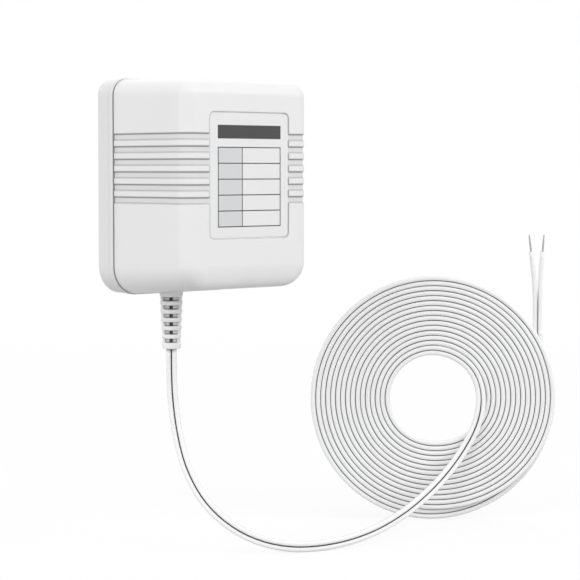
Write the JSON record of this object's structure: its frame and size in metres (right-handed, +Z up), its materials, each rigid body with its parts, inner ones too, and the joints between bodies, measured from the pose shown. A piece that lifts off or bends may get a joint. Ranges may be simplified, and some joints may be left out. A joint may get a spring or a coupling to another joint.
{
  "type": "doorbell transformer",
  "caption": "Plug-in doorbell transformer: moulded housing with wrapped grip ribs and a sunk label panel, plug blades, slotted strain relief and a coiled flat cord with stripped ends.",
  "frame": {"origin": "on the flat rear face that meets the wall plate, midway between the plug blades", "axes": "+Y out of the rear face along the plug blades, +Z up, the front with the label panel faces -Y"},
  "size_m": [0.1742, 0.0845, 0.1678],
  "materials": {
    "housing": "satin white moulded plastic",
    "cover": "satin white moulded plastic",
    "label": "matt printed label",
    "blade": "nickel-plated brass",
    "core_steel": "varnished steel laminations",
    "bobbin": "black moulded nylon",
    "copper_winding": "enamelled copper wire",
    "winding_tape": "polyester film tape",
    "tinned_pin": "tinned pins",
    "fuse": "ceramic fuse body",
    "inner_lead": "black lead insulation",
    "relief": "white flexible plastic",
    "cord": "white flexible cord insulation",
    "bare_strand": "bare copper strands"
  },
  "bodies": {
    "root": {"front_shell": "housing", "rear_cover": "cover", "rating_label": "label", "left_blade": "blade", "right_blade": "blade", "core_e_stack": "core_steel", "core_i_stack": "core_steel", "bobbin": "bobbin", "primary_winding": "copper_winding", "secondary_winding": "copper_winding", "primary_tape": "winding_tape", "secondary_tape": "winding_tape", "primary_pins": "tinned_pin", "secondary_pins": "tinned_pin", "thermal_fuse": "fuse", "line_lead": "inner_lead", "neutral_lead": "inner_lead", "strain_relief": "relief", "cord_stub": "cord", "cord_lead": "cord", "cord_coil": "cord", "cord_tail": "cord", "output_lead_a": "cord", "output_lead_b": "cord", "core_end_a": "cord", "core_end_b": "cord", "bare_end_a": "bare_strand", "bare_end_b": "bare_strand"}
  },
  "joints": []
}
